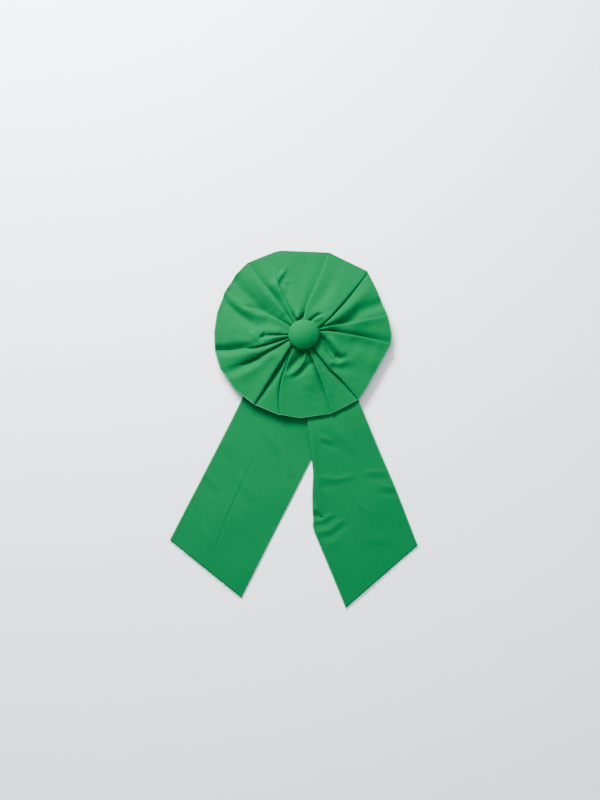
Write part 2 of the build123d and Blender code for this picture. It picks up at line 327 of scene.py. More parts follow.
def foam_material(name):
    """White closed-cell foam tape: fine cells with a tacky, slightly glossy face."""
    material, tree, shader = node_tree(name)
    voronoi = tree.nodes.new("ShaderNodeTexVoronoi")
    set_inputs(voronoi, Scale=3200.0)
    tree.links.new(object_place(tree), voronoi.inputs["Vector"])
    cells = voronoi.outputs["Distance"]
    base = mix_colour(tree, cells, (0.86, 0.86, 0.80), (0.70, 0.70, 0.64))
    return finished(material, tree, shader, base, cells, 0.5, 0.00015,
                    Roughness=0.45, Subsurface_Weight=0.15, Subsurface_Scale=0.001)


def paper_material(name):
    """Silicone-coated release paper: faint fibre mottle under a satin coat."""
    material, tree, shader = node_tree(name)
    place = object_place(tree)
    fibres = noise(tree, place, 900.0, 5.0, 0.65, (1, 0.5, 1))
    cloud = noise(tree, place, 90.0, 3.0)
    base = mix_colour(tree, maths(tree, "MULTIPLY", fibres, 0.5), (0.86, 0.84, 0.76), (0.74, 0.71, 0.62))
    base = mix_colour(tree, maths(tree, "MULTIPLY", cloud, 0.3), base, (0.90, 0.89, 0.84))
    return finished(material, tree, shader, base, fibres, 0.15, 0.00005, Roughness=0.38, Coat_Weight=0.15)


def metal_material(name, colour, roughness, grain):
    """Pressed or drawn metal with fine tool marks; grain is the marks' stretch along x, y and z."""
    material, tree, shader = node_tree(name)
    place = object_place(tree)
    marks = noise(tree, place, 2000.0, 4.0, 0.6, grain)
    smudges = noise(tree, place, 300.0, 2.0)
    darker = tuple(c * 0.82 for c in colour)
    tree.links.new(maths(tree, "MULTIPLY_ADD", marks, 0.2, roughness), shader.inputs["Roughness"])
    base = mix_colour(tree, smudges, colour, darker)
    return finished(material, tree, shader, base, marks, 0.2, 0.00004, Metallic=1.0)


ribbon_cloth = taffeta("ribbon_taffeta", pitch=0.00042, selvage=True)
button_cloth = taffeta("button_fabric", pitch=0.00045, selvage=False)
fray_thread = thread_material("ribbon_fray", (0.22, 0.78, 0.46))
sewing_thread = thread_material("green_thread", (0.020, 0.300, 0.085))
felt = felt_material("backing_felt")
foam = foam_material("adhesive_foam")
paper = paper_material("liner_paper")
shell_metal = metal_material("shell_aluminium", (0.80, 0.81, 0.83), 0.32, (1, 1, 0.1))
plate_metal = metal_material("plate_aluminium", (0.76, 0.77, 0.79), 0.36, (1, 0.1, 1))
shank_metal = metal_material("shank_steel", (0.66, 0.67, 0.69), 0.25, (1, 1, 0.1))


# ---- the rosette
# Angles are in degrees anticlockwise from +X, distances in millimetres from the axis.
# Each fold: 1 where the side further round lies on top of it, or -1 where the other side does;
# where it opens out and its layers lie flat again, or 90 if it doesn't; its (distance, angle)
# points; and then four things at the distances in FOLD_STATIONS: how far the under side dips
# beside the fold, how wide that dip is, how far the upper side stands up, and how wide that is.
FOLD_STATIONS = (11.0, 22.0, 34.0, 46.0, 60.0)
FOLDS = [
    (-1, 90, [(11, 23.5), (20, 19.5), (29, 17.1), (47, 15.2), (60, 14.9)],
     (1.3, 1.4, 1.3, 0.9, 0.4), (1.2, 2, 3.2, 5, 5),
     (0.5, 1.4, 1.7, 1.2, 0.7), (2, 3, 4, 4, 5)),
    (1, 90, [(11, 31), (20, 35.6), (30, 39.8), (44, 43.3), (62, 46.2)],
     (1.5, 1.3, 1.1, 0.8, 0.4), (1.2, 1.5, 1.7, 1.8, 1.8),
     (0.5, 0.9, 0.8, 0.4, 0.1), (4, 6, 7, 7, 7)),
    (-1, 90, [(11, 91), (13, 89.8), (26, 81.2), (44, 75.2), (61, 73.9)],
     (1.4, 1.3, 1.2, 1, 0.5), (1.8, 2.6, 4, 5, 5),
     (0.6, 0.8, 0.8, 0.7, 0.4), (2, 3.4, 5, 6, 7)),
    (1, 41.5, [(11, 121), (19, 118), (27, 116.7), (38, 116.1), (43.5, 115.4), (45.5, 113.2),
      (48.5, 108.2), (50.6, 105.2), (54.5, 105), (61, 106.2)],
     (1.3, 1.4, 1.5, 0.8, 0.5), (1.1, 1.8, 2.4, 2.4, 2.4),
     (0.7, 1.2, 1.5, 1.2, 0.5), (1.4, 1.7, 2, 1.8, 2)),
    (1, 90, [(11, 130.5), (20, 128.2), (33, 126.9), (48, 126.6), (64, 125.8)],
     (1.5, 1.7, 2.6, 1.4, 0.4), (1.1, 1.6, 2.4, 2.4, 3),
     (0.8, 1.5, 2, 1.8, 1.2), (2, 3, 4, 4.6, 5)),
    (1, 42, [(11, 146.6), (25, 147.6), (34, 148.8), (41, 151.6), (47, 153), (60, 151.2)],
     (1.3, 1.6, 2.4, 1.5, 0.6), (1.4, 2.2, 3.4, 3.6, 4),
     (0.6, 1, 1.2, 1.2, 0.8), (2.5, 3.4, 4, 4, 4)),
    (-1, 37, [(11, 187), (16, 189.8), (21, 191.5), (29, 192.4), (41, 191), (60, 188)],
     (1.5, 1.7, 1.6, 0.8, 0.5), (1, 1.6, 2.4, 3.4, 4),
     (0.5, 0.6, 0.6, 0.4, 0.3), (2, 3, 3.4, 4.4, 5)),
    (-1, 46, [(11, 195), (18, 199.4), (26, 201.6), (40, 203.8), (60, 202.2)],
     (1.5, 1.9, 1.8, 1.1, 0.4), (1.2, 2.6, 4, 4.4, 5),
     (0.6, 0.8, 0.6, 0.1, 0), (1.4, 3, 4.5, 5, 5.5)),
    (-1, 90, [(11, 217.4), (13.6, 221.8), (22, 228.2), (33.5, 231.3), (46, 233.2), (59, 234.4)],
     (2.4, 3, 2.7, 1.7, 0.6), (1.8, 3.2, 3.6, 3, 2.4),
     (0.4, 0.9, 1, 0.9, 0.6), (3, 4, 5, 5, 5)),
    (1, 90, [(11, 232.8), (18, 237.2), (25, 240.8), (33, 243.3), (43, 247), (58, 253)],
     (1.3, 1.6, 1.6, 1.2, 0.6), (0.8, 0.9, 1.1, 1.3, 1.6),
     (0.7, 0.9, 0.7, 0.5, 0.3), (1.6, 2.2, 2.8, 3.4, 4)),
    (1, 90, [(11, 287), (18, 290.6), (30, 291.2), (58, 289.4)],
     (1.4, 1.9, 1.8, 1.1, 0.5), (1.2, 1.8, 2, 2.4, 3),
     (0.6, 0.9, 0.8, 0.7, 0.4), (1.5, 2, 2.5, 3, 3)),
    (1, 90, [(11, 307.4), (26, 307.8), (42, 310.4), (58, 310.3)],
     (1.6, 2, 2.1, 1.4, 0.5), (1, 1.5, 1.9, 2.4, 2.6),
     (0.7, 1, 1.1, 0.8, 0.2), (2.5, 4, 5, 6, 6)),
    (-1, 90, [(11, 373.6), (20, 367.2), (30, 362), (49, 357), (60, 355.2)],
     (1.4, 1.9, 1.8, 2, 1.4), (1, 1.6, 2.2, 3.2, 4),
     (0.6, 1.2, 1.6, 1.5, 0.9), (2, 4, 5, 6, 6)),
]
# The rim's corners: straight edges of ribbon run from one to the next.
RIM_CORNERS = [
    (1.8, 59.6), (8.4, 58.9), (15.2, 58.8), (33.4, 59.4), (46.6, 62.9), (74, 61.2), (104.4, 62),
    (108, 62.4), (125.8, 64), (137, 63.4), (150.6, 61.9), (164.5, 61.1), (177.3, 60.7), (189.9, 60.9),
    (201.5, 60.5), (217.8, 59.1), (234.4, 57.5), (252.2, 56.4), (268, 56.2), (289.4, 56.2),
    (301.6, 55.9), (310.3, 56.9), (319, 55.4), (355, 59.2),
]
# Short creases, dents and puffs: (distance, angle) points, height (minus for a dent), spread, and
# for a pinched crease how sharp it is, up to 2.
MARKS = [
    # from 2 o'clock round to 12 o'clock
    ([(58, 23.6), (50.7, 24.4), (42.5, 24.8), (36, 21.5), (28, 17.8), (21, 19)], -1.8, 3.8),
    ([(19, 27), (30, 30), (37, 32.5), (46, 35), (59, 37)], 1.1, 3.2),
    ([(24, 66), (33, 63.5), (42, 64)], -0.7, 3.6),
    ([(18, 62), (32, 56), (50, 56)], 0.7, 6),
    ([(48, 90), (32, 95), (20, 98)], -0.9, 8),
    # the hook at the end of the fold at about 11 o'clock
    ([(39.2, 111.8), (41.8, 109.2), (44.5, 106)], -0.9, 2.1),
    ([(39.5, 115.9), (41.5, 115.4), (43.7, 113), (45.4, 109.4), (47.2, 106.5), (49.2, 105.4), (53, 105.6),
      (58, 106.4)], 0.55, 2),
    ([(41, 115.6), (43.7, 112.8), (45.4, 109.2), (47.2, 106.3), (49.2, 105.2), (53, 105.4), (58, 106.2)],
     0.35, 0.9),
    ([(49.6, 108.4), (52.5, 108), (57, 108.4)], -0.9, 1.4),
    ([(37, 107.5), (32, 109.5), (27, 110)], -0.9, 2),
    ([(42, 120.6), (38, 119.6), (32, 118.4)], 0.8, 2),
    # between the folds at 11 and 10 o'clock
    ([(61, 140.6), (54, 142.4), (46, 143.8), (37, 144.4), (27, 145)], -2.7, 4),
    ([(60, 147.6), (55, 148.3), (50, 148.8)], -0.9, 1.3),
    ([(61, 153.6), (56, 156.6), (50, 159.2), (43, 162.2), (38, 165), (34, 168), (29, 171)],
     -1.7, 3),
    ([(31, 154.5), (38.4, 156.2), (47, 154.9), (60, 151.6)], 1.1, 2.8),
    # the short crease at 9 o'clock, its hooked end and the puff above it
    ([(10.5, 177.6), (18, 179.4), (27.5, 179.7)], -1.9, 0.6, 1.3),
    ([(27, 179.8), (29.6, 183.6)], -1.8, 1, 1.3),
    ([(18, 172), (27, 173), (32, 175.5)], 1.2, 3.2),
    ([(33.5, 178.6), (31, 186)], 0.9, 1.9),
    ([(12, 182.6), (20, 185), (27, 187)], 1.1, 1.4),
    ([(61, 188.6), (51, 190.4), (42, 191.7), (33, 192.4)], -2.3, 2.9),
    ([(28, 186.5), (40, 184.6), (52, 183.2)], 0.7, 3.2),
    ([(36, 205.8), (48, 207.2), (60, 205.2)], -1.7, 3.4),
    # the S-shaped crease at 4 o'clock and the puffs beside it
    ([(10.6, -6), (13.7, -12.6), (16.5, -21.7), (20.6, -30.3), (24.4, -33.3), (28, -33)], -3, 2.1, 1.1),
    ([(28.4, -32.2), (24.5, -33.2)], -1.5, 1.8),
    ([(28.5, -25), (24, -19.5), (19.5, -10.5), (15, -3)], 1.6, 2.4),
    ([(27, -45), (30.2, -39.5), (33, -32.5), (36, -28)], 0.9, 2),
    ([(14, -32), (22, -42), (27, -47)], 0.7, 3),
    ([(30, -47), (35, -40.5), (42, -34)], -0.6, 2.8),
    ([(37, -5), (51, -9)], -0.9, 4.6),
    ([(40, -19), (54, -24)], 0.8, 5),
    # short creases at the button's top
    ([(11, 67.5), (13.8, 61.5), (17, 56), (19.6, 49.5)], -2.2, 0.9, 1.2),
    ([(14, 53), (19, 44)], 1, 2),
    ([(11, 115.5), (15, 115.8), (18, 114)], -1.9, 0.7, 1.4),
    ([(13.5, 106), (18, 103)], 1.3, 1.9),
    ([(11.3, 108), (12.4, 98), (13.6, 92), (16.5, 87)], -1.9, 0.8, 1.4),
    # the gathers below the button
    ([(10.5, -97), (15, -101.5), (20, -108), (26, -114)], -2.2, 2.3),
    ([(13, -86), (18, -91), (22, -97), (26, -104), (29, -111)], 1.3, 1.5),
    ([(19, -74), (21.5, -84), (25.5, -94), (30, -102.5)], -1.1, 2),
    ([(28, -78), (38, -86)], 0.7, 5),
    # soft puffs on the left
    ([(30, 196.5), (54, 195)], 0.9, 3.4),
    ([(26, 212), (44, 213), (57, 211)], 0.9, 3.4),
    ([(22, 132), (40, 132), (58, 131)], 0.7, 2.6),
    ([(36, 176), (54, 175)], 0.7, 6),
]
FLAT_LENGTH = 385.0  # the ribbon's length before it was gathered
LAYER_STEP = 0.34  # from one hidden layer to the next
HIDDEN_COLUMNS = 7  # of points, in each hidden layer
OWN_ROOM, SHARED_ROOM = 0.86, 0.46  # of a panel's width, for the hidden layers under one end of it
TURN_REACH = 0.12  # how far a hidden layer's bend reaches past it
LIP_REACH = 0.10  # how far a fold's edge stands past its line
LEAST_DEPTH = 0.25  # of the hidden layers
STEP_REACH = 1.8  # how far back from the edge the lowest layer rises to the others
LEAST_STEP = 0.08  # from the under side up to the upper side, at a fold
EDGE_ROLL, EDGE_WIDTH = 0.28, 0.55  # how far down the upper side's edge rolls, and how wide
COLUMN_WIDTH = 0.85  # between a panel's columns of points, at the middle ring
LAYOUT_STEP = 40.0  # from one panel to the next on the flat cloth
folds = len(FOLDS)

ring = np.concatenate([
    np.linspace(gather_radius, 10.0, 9),
    np.linspace(10.6, 30.0, 56),
    np.linspace(30.8, 60.0, 40),
])
share = (ring - ring[0]) / (ring[-1] - ring[0])
middle_row = int(np.searchsorted(ring, 44.0))  # the ring that a panel's width is measured on


def rim_radius(angle):
    """The rim's distance from the axis at angles in degrees."""
    corner_angle = np.array([a for a, _ in RIM_CORNERS])
    corner_radius = np.array([r for _, r in RIM_CORNERS])
    angle = (np.asarray(angle, float) - corner_angle[0]) % 360 + corner_angle[0]
    after = np.searchsorted(corner_angle, angle, side="right") % len(corner_angle)
    before = after - 1
    from_before = np.radians(angle - corner_angle[before])
    to_after = np.radians((corner_angle[after] - angle) % 360)
    r0, r1 = corner_radius[before], corner_radius[after]
    return r0 * r1 * np.sin(from_before + to_after) / (
        r0 * np.sin(from_before) + r1 * np.sin(to_after))


def dome_height(r):
    """The rosette's general height: gathered and full at the button, flat at the rim."""
    knots = [(gather_radius, gather_height + 0.4), (6.5, 8.3), (8.5, 9.0), (11, 8.9), (16, 8.5), (24, 7.9),
             (34, 7.0), (46, 6.0), (60, 5.25), (66, 5.1)]
    return smooth_through(knots, r)


def nearest_on(line, x, y):
    """How far points are from a line of (x, y) corners, and how far along it, from 0 to 1."""
    nearest = np.full_like(x, 1e9)
    place = np.zeros_like(x)
    for i, ((x0, y0), (x1, y1)) in enumerate(zip(line[:-1], line[1:])):
        dx, dy = x1 - x0, y1 - y0
        t = np.clip(((x - x0) * dx + (y - y0) * dy) / (dx * dx + dy * dy), 0, 1)
        away = np.hypot(x - x0 - t * dx, y - y0 - t * dy)
        closer = away < nearest
        nearest = np.where(closer, away, nearest)
        place = np.where(closer, (i + t) / (len(line) - 1), place)
    return nearest, place


def marks_height(r, angle):
    """The height that the short creases, dents and puffs add. Each fades towards its last point."""
    x, y = r * np.cos(np.radians(angle)), r * np.sin(np.radians(angle))
    total = np.zeros_like(x)
    for line, height, spread, *pinch in MARKS:
        corners = [(d * math.cos(math.radians(a)), d * math.sin(math.radians(a))) for d, a in line]
        away, place = nearest_on(corners, x, y)
        sharp = pinch[0] if pinch else 1.0
        total += height * ease(place, 1.25, 0.55) * np.exp(-((away / spread) ** (2 / sharp)))
    return total


FOLD_OVER, FOLD_OPENS, FOLD_LINES, *FOLD_SIDES = zip(*FOLDS)
fold_angle = np.array([smooth_through(line, ring) for line in FOLD_LINES])
dip, dip_spread, ridge, ridge_spread = np.array([
    [smooth_through(list(zip(FOLD_STATIONS, values)), ring) for values in side] for side in FOLD_SIDES])
# Under the button the steps close up, where the thread draws all the layers together.
draw_in = ease(ring, gather_radius, 9.5)
still_folded = np.array([ease(ring, opens + 4, opens - 3) for opens in FOLD_OPENS])
dip *= draw_in * still_folded
ridge *= draw_in * still_folded


def side_offset(fold, upper, distance):
    """How a panel's height changes beside a fold, on its upper or its lower side."""
    if upper:
        roll = EDGE_ROLL * draw_in * still_folded[fold] * bell(distance, EDGE_WIDTH)
        return ridge[fold] * bell(distance, ridge_spread[fold]) - roll
    return -dip[fold] * bell(distance, dip_spread[fold])


def panel_end(panel):
    """The fold that ends a panel, and its angle, counted on from the panel's start."""
    end = (panel + 1) % folds
    return end, fold_angle[end] + (360 if end == 0 else 0)


def panel_height(panel, angle, r):
    """The height of the panel after a fold, at one angle for each ring."""
    end, end_angle = panel_end(panel)
    from_start = np.radians(angle - fold_angle[panel]) * ring
    to_end = np.radians(end_angle - angle) * ring
    height = dome_height(r)
    height = height + side_offset(panel, FOLD_OVER[panel] == 1, from_start)
    height = height + side_offset(end, FOLD_OVER[end] == -1, to_end)
    return height


def ring_radius(angle):
    """Each ring's distance from the axis at that angle: the rings follow the rim's straight edges."""
    rim = rim_radius(angle)
    pull = ease(ring, 14, 60) * share
    return ring + (rim - ring[-1]) * pull


def panel_width(panel):
    """The length round each ring from a panel's first fold to its last."""
    return np.radians(panel_end(panel)[1] - fold_angle[panel]) * ring


def beside(fold):
    """The panel that covers a fold, and the one that goes under it."""
    before = (fold - 1) % folds
    return (fold, before) if FOLD_OVER[fold] == 1 else (before, fold)


def hidden_depth(fold):
    """How far a fold's hidden layers reach back under the panel that covers them."""
    over = FOLD_OVER[fold]
    shared = FOLD_OVER[(fold + over) % folds] != over
    spare = (FLAT_LENGTH - 2 * math.pi * ring) / (2 * folds) * 1.15
    room = (SHARED_ROOM if shared else OWN_ROOM) * panel_width(beside(fold)[0])
    return np.maximum(np.minimum(spare, room), LEAST_DEPTH)


def fold_columns(fold):
    """A fold's columns of points, in the order that the ribbon runs: (angle, radius, height)."""
    over = FOLD_OVER[fold]
    cover, under = beside(fold)
    turn = 360 if over == -1 and fold == 0 else 0
    edge = fold_angle[fold] + turn
    depth = hidden_depth(fold)
    step = panel_height(cover, edge, ring) - panel_height(under, fold_angle[fold], ring)
    step = np.maximum(step, LEAST_STEP)
    path = [(t * depth, "low") for t in np.linspace(0, 1, HIDDEN_COLUMNS)]
    path.append((depth + TURN_REACH, "turn"))
    path += [(t * depth + (1 - t) * TURN_REACH, "middle") for t in np.linspace(1, 0, HIDDEN_COLUMNS)]
    path.append((np.full_like(depth, -LIP_REACH), "lip"))
    closed = np.maximum(still_folded[fold], 0.02)
    columns = []
    for back, layer in path:
        back = back * closed
        angle = edge + over * np.degrees(back / ring)
        deeper = (step - LAYER_STEP * 2) * bell(back, STEP_REACH)
        gap = {
            "low": LAYER_STEP * 2 + deeper,
            "turn": LAYER_STEP * 1.5 + np.minimum(deeper, 0),
            "middle": np.minimum(LAYER_STEP, step * 0.5),
            "lip": np.minimum(LAYER_STEP, step * 0.5) * 0.45,
        }[layer]
        radius = ring_radius(angle)
        columns.append((angle - turn, radius, panel_height(cover, angle, radius) - gap * closed))
    return columns if over == 1 else columns[::-1]


def build_rosette():
    """One sheet all round: each fold's hidden layers, then the panel that follows the fold."""
    columns, panel_of_column = [], []
    for fold in range(folds):
        hidden = fold_columns(fold)
        columns += hidden
        panel_of_column += [beside(fold)[0]] * len(hidden)
        turned_by = panel_end(fold)[1] - fold_angle[fold]
        count = max(10, int(panel_width(fold)[middle_row] / COLUMN_WIDTH))
        for t in np.linspace(0, 1, count + 1):
            t = t - 0.11 * math.sin(2 * math.pi * t)  # closer together beside the folds
            angle = fold_angle[fold] + t * turned_by
            radius = ring_radius(angle)
            columns.append((angle, radius, panel_height(fold, angle, radius)))
            panel_of_column.append(fold)
    angle, radius, height = np.array(columns).transpose(1, 2, 0)
    height = height + marks_height(radius, angle) * ease(radius, 8.0, 11.5)
    x, y = radius * np.cos(np.radians(angle)), radius * np.sin(np.radians(angle))
    height += 0.12 * ripple(x, y, 3, 17) * ease(radius, 10, 24)
    height += 0.05 * ripple(x, y, 4, 6) * ease(radius, 10, 24)
    points = np.stack([x, y, height], axis=2).reshape(-1, 3)
    faces = grid_faces(*x.shape, closed=True)[:, ::-1]

    # Each panel is laid out flat by itself, with its weave along the rim.
    panel = np.array(panel_of_column)[faces[:, -1] % x.shape[1]]
    middle = np.array([(fold_angle[p] + panel_end(p)[1])[middle_row] / 2 for p in range(folds)])
    corner_angle = np.radians(angle.ravel()[faces] - middle[panel][:, None])
    corner_radius = radius.ravel()[faces]
    along = corner_radius * np.sin(corner_angle) + LAYOUT_STEP * panel[:, None]
    across = corner_radius * np.cos(corner_angle)
    piece = make_object("rosette_ribbon_cloth", points, faces.tolist(), ribbon_cloth, "bow",
                        np.stack([along, across], axis=2), RIBBON_THICKNESS)
    store(piece, "edge_mm", rim_radius(angle) - radius)
    # Painted shade: the selvage is painted dark along the rosette's top rim, from about 43 to 147 degrees,
    # fading to pale by about 27 and 163 degrees.
    store(piece, "selvage_unshaded", ease(np.abs((angle - 95) % 360 - 180), 128, 112))
    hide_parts("rosette_ribbon")


build_rosette()


# ---- the tails
# Distances along a tail are from the tack; across is measured to the right, seen from above,
# with the tail pointing down. Each tail is shaped pointing to -Y and then turned about the tack.
TAIL_TOP = -7.0
LEFT_TURN, RIGHT_TURN = -26.1, 21.6
LEFT_CUT = (137.1, 150.5)  # at the left edge and at the right edge
RIGHT_CUT = (154.8, 133.8)


def turned(points, degrees):
    """Points turned about the tack, which was at their origin."""
    a = math.radians(degrees)
    x, y = points[:, 0], points[:, 1]
    return np.stack([
        tack[0] + x * math.cos(a) - y * math.sin(a),
        tack[1] + x * math.sin(a) + y * math.cos(a),
        points[:, 2]], axis=1)


# Wrinkles on the tails: (along, across) points, height (minus for a dent) and spread.
LEFT_WRINKLES = [
    ([(60, -28), (68, -20)], 0.45, 2), ([(66, -29), (74, -21)], -0.25, 2.2),
    ([(86, -29), (92, -17)], 0.40, 1.8), ([(92, -29), (98, -18)], -0.25, 2),
    ([(42, -8), (50, 6)], 0.40, 2.2), ([(47, -9), (56, 5)], -0.30, 2.4),
    ([(79, -6), (88, 6)], 0.40, 2), ([(84, -8), (93, 4)], -0.25, 2.2),
    ([(50, 10), (62, 22)], 0.45, 2.4), ([(56, 8), (68, 20)], -0.25, 2.6),
    ([(102, 4), (112, 16)], 0.25, 3), ([(118, -20), (126, -6)], 0.22, 3),
    ([(62, -4.6), (80, -4.2), (110, -2.6), (131, -0.3)], -0.24, 0.7),
    ([(62, -6), (80, -5.6), (110, -4), (131, -1.7)], 0.16, 0.9),
]
RIGHT_WRINKLES = [
    ([(42, -3), (48, 2)], 0.55, 1.3), ([(47, -4), (53, 3)], -0.40, 1.5),
    ([(36, 6), (56, 14)], 0.35, 2.6), ([(40, 1), (62, 8)], -0.25, 2.6),
    ([(76, 17), (80, 27)], 0.40, 1.4), ([(80, 15), (85, 27)], -0.30, 1.5),
    ([(88, 22), (93, 30)], 0.45, 1.4), ([(92, 20), (98, 29)], -0.30, 1.6),
    ([(68, -13), (73, -4), (75, 6)], 0.50, 1.6), ([(74, -14), (78, -4)], -0.35, 1.8),
    ([(84, 2), (96, 5), (104, 12)], 0.25, 1.6),
    ([(84, -25.5), (88, -24)], 1, 2), ([(90, -27), (92, -22)], -0.7, 1.3),
    ([(93.5, -29), (95, -22), (94, -16)], 0.55, 1.2), ([(97, -29), (98.5, -22), (97, -14)], -0.45, 1.3),
    ([(102, -28), (103, -20), (100, -11)], 0.45, 1.4), ([(106, -28), (107, -20), (104, -10)], -0.35, 1.6),
    ([(112, -26), (112, -18)], 0.25, 2.2), ([(118, 0), (124, 14)], 0.25, 3),
    ([(34, -7), (50, -11), (70, -16.5), (86, -20)], 0.45, 2.2),
]


def wrinkle_height(wrinkles, along, across):
    """The height that a tail's wrinkles add. Each is deepest in its middle."""
    total = np.zeros_like(along)
    for line, height, spread in wrinkles:
        away, place = nearest_on(line, along, across)
        total += height * (0.55 + 0.45 * np.sin(math.pi * place)) * bell(away, spread)
    return total


def left_height(along, across):
    """The left tail's height: off the disc, down to the surface, and wrinkled where it lies."""
    level = smooth_through([(-8, left_top_z), (16, left_top_z), (24, 2.5),
                            (40, 0.95), (50, 0.45), (155, 0.35)], along)
    swell = 0.30 + 0.28 * ripple(across, along, 11, 46) + wrinkle_height(LEFT_WRINKLES, along, across)
    return level + np.maximum(swell, -0.2) * ease(along, 34, 50)


def right_height(along, across):
    """The right tail's height: it runs over the left one before it comes down."""
    level = smooth_through([(-8, right_top_z), (34, right_top_z), (44, 3.0),
                            (58, 1.9), (68, 1.45), (88, 1.1), (112, 0.45), (160, 0.35)], along)
    swell = 0.28 + 0.26 * ripple(across, along, 23, 44) + wrinkle_height(RIGHT_WRINKLES, along, across)
    return level + np.maximum(swell, -0.15) * ease(along, 34, 46)


def tail_cloth(name, along, across, flat_across, height, turn):
    """A tail's ribbon from grids of points: rows run down it and columns across."""
    points = np.stack([across, -along, height], axis=2).reshape(-1, 3)
    faces = grid_faces(*along.shape)[:, ::-1]
    uv = np.stack([along.ravel()[faces], flat_across.ravel()[faces]], axis=2)
    piece = make_object(name + "_cloth", turned(points, turn), faces.tolist(), ribbon_cloth, name,
                        uv, RIBBON_THICKNESS)
    store(piece, "edge_mm", half_width - np.abs(flat_across))
    # The tails' selvages get no painted shade.
    store(piece, "selvage_unshaded", np.ones_like(along))
    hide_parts(name + "_ribbon")
    return piece


def down_to(cut, flat_across, share_down):
    """Distances along a tail, from its top end down to its slant cut."""
    end = cut[0] + (cut[1] - cut[0]) * (flat_across + half_width) / RIBBON_WIDTH
    return TAIL_TOP + share_down * (end - TAIL_TOP)


LEFT_COLUMNS = 61


def build_left_tail():
    """One plain layer, a little bowed along its length."""
    share_down = np.linspace(0, 1, 150)[:, None]
    flat_across = np.linspace(-half_width, half_width, LEFT_COLUMNS) + 0 * share_down
    along = down_to(LEFT_CUT, flat_across, share_down)
    across = flat_across + 0.35 * np.sin(along / 31.0)
    piece = tail_cloth("left_tail", along, across, flat_across, left_height(along, across), LEFT_TURN)
    return piece


# The right tail's tuck, by distance along the tail: how deep it is, and where its folded edge lies.
TUCK_DEPTH = [
    (-8, 16.6), (10, 14.5), (30, 11.7), (45, 9.4), (52, 8), (60, 6.3), (72, 3.6), (84, 1.4), (92, 0.3),
    (160, 0.3),
]
TUCK_EDGE = [
    (-8, 2), (10, -2.6), (30, -8), (45, -12.1), (65, -17.6), (88, -22.9), (98, -25), (160, -26),
]
TUCK_LAYER = 0.36  # from one of its layers to the next
UNDER_COLUMNS, BACK_COLUMNS, TOP_COLUMNS = 14, 7, 45  # of points, across each layer
RIGHT_COLUMNS = UNDER_COLUMNS + BACK_COLUMNS + TOP_COLUMNS


def build_right_tail():
    """Three layers run across beside the tuck: the selvage side, the turned-back part and the top."""
    share_down = np.linspace(0, 1, 160)[:, None]
    guess_along = TAIL_TOP + share_down * (RIGHT_CUT[1] - TAIL_TOP + 10)
    depth = smooth_through(TUCK_DEPTH, guess_along)
    edge = smooth_through(TUCK_EDGE, guess_along)
    tucked = ease(guess_along, 96, 86)
    selvage = -half_width + 2 * depth * tucked
    across = [selvage + t * (edge + depth - selvage) for t in np.linspace(0, 1, UNDER_COLUMNS)]
    across += [edge + depth * (1 - t) for t in np.linspace(0, 1, BACK_COLUMNS + 1)[1:]]
    for t in np.linspace(0, 1, TOP_COLUMNS + 1)[1:]:
        lean = t - 0.05 * math.sin(2 * math.pi * t)  # closer together beside the edges
        across.append(edge + lean * (half_width - edge))
    across = np.concatenate(across, axis=1)
    layer = np.repeat([2.0, 1.0, 0.0], [UNDER_COLUMNS, BACK_COLUMNS, TOP_COLUMNS])
    flat_across = np.cumsum(np.abs(np.diff(across, axis=1, prepend=across[:, :1])), axis=1)
    flat_across = -half_width + flat_across / flat_across[:, -1:] * RIBBON_WIDTH

    # Beyond the tuck's end the columns spread out evenly.
    plain = np.linspace(-half_width, half_width, RIGHT_COLUMNS)
    across = across * tucked + plain * (1 - tucked)
    flat_across = flat_across * tucked + plain * (1 - tucked)
    along = down_to(RIGHT_CUT, flat_across, share_down)
    across = across + 0.7 * bell(along - 95, 30) * across / half_width
    height = right_height(along, across) - TUCK_LAYER * layer * tucked * tucked
    height = np.maximum(height, 0.12)
    piece = tail_cloth("right_tail", along, across, flat_across, height, RIGHT_TURN)
    return piece


left_tail = build_left_tail()
right_tail = build_right_tail()


# ---- tubes, threads and frays

def path_sides(path):
    """Two directions square to a path at each of its points, turning as little as they can."""
    tangent = np.gradient(path, axis=0)
    tangent /= np.linalg.norm(tangent, axis=1, keepdims=True)
    guide = np.array([0.0, 0.0, 1.0]) if abs(tangent[0][2]) < 0.9 else np.array([1.0, 0.0, 0.0])
    sides, ups = [], []
    for direction in tangent:
        side = np.cross(direction, guide)
        side /= np.linalg.norm(side)
        guide = np.cross(side, direction)
        sides.append(side)
        ups.append(guide)
    return np.array(sides), np.array(ups)


def tube_points(path, radius, sides):
    """The points and faces of a tube along a path, with pinched-in ends."""
    side, up = path_sides(path)
    size = np.full((len(path), 1, 1), radius)
    size[[0, -1]] *= 0.55
    turn = np.linspace(0, 2 * math.pi, sides, endpoint=False)[None, :, None]
    around = np.cos(turn) * side[:, None, :] + np.sin(turn) * up[:, None, :]
    points = (path[:, None, :] + size * around).reshape(-1, 3)
    faces = grid_faces(len(path), sides, closed=True).tolist()
    faces.append(list(range(sides - 1, -1, -1)))
    faces.append(list(range((len(path) - 1) * sides, len(path) * sides)))
    return points, faces


def tubes_object(name, paths, radius, material, body, sides=6):
    """One piece made of a tube along each path."""
    points, faces, start = [], [], 0
    for path in paths:
        tube, tube_faces = tube_points(np.asarray(path, float), radius, sides)
        points.append(tube)
        faces += [[i + start for i in face] for face in tube_faces]
        start += len(tube)
    return make_object(name, np.concatenate(points), faces, material, body)


def two_ply(path, radius, pitch):
    """Two strands wound round each other along a path."""
    path = np.asarray(path, float)
    length = np.concatenate([[0], np.cumsum(np.linalg.norm(np.diff(path, axis=0), axis=1))])
    even = np.linspace(0, length[-1], max(int(length[-1] / (pitch / 8)), 6))
    path = np.stack([np.interp(even, length, path[:, k]) for k in range(3)], axis=1)
    side, up = path_sides(path)
    turn = 2 * math.pi * even[:, None] / pitch
    offset = (np.cos(turn) * side + np.sin(turn) * up) * radius * 0.5
    return [path + offset, path - offset]


